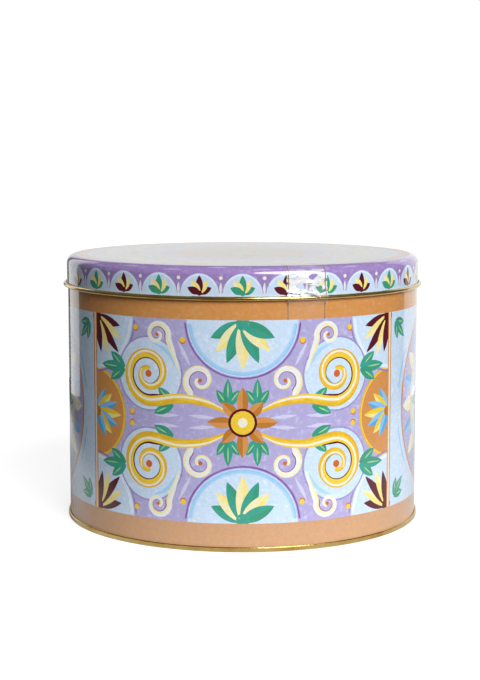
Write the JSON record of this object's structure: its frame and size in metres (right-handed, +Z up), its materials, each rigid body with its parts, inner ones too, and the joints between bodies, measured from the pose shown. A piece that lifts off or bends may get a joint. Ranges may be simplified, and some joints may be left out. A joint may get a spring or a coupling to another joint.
{
  "type": "lithographed tin",
  "caption": "Round lithographed tinplate tin with a lift-off slip lid, a double-seamed base and a clear seal strip cut at the lid's rolled hem.",
  "frame": {"origin": "centre of the seam the tin stands on, on the surface below it", "axes": "+Z up along the tin's axis, -Y the front panel, +Y the side seam at the back"},
  "size_m": [0.2296, 0.2296, 0.1681],
  "materials": {
    "printed_tinplate": "glossy printed tinplate in lilac, pale blue, yellow, green, maroon and warm orange",
    "gold_lacquer": "transparent gold lacquer over bright tinplate",
    "clear_film": "clear glossy self-adhesive film"
  },
  "bodies": {
    "body": {"body_wall": "printed_tinplate", "base_plate": "gold_lacquer", "seal_lower": "clear_film"},
    "lid": {"lid": "printed_tinplate", "seal_upper": "clear_film"}
  },
  "joints": [
    {"name": "lid_lift", "type": "slide", "parent": "body", "child": "lid", "axis": [0, 0, 1], "range_m": [0, 0.2]}
  ]
}
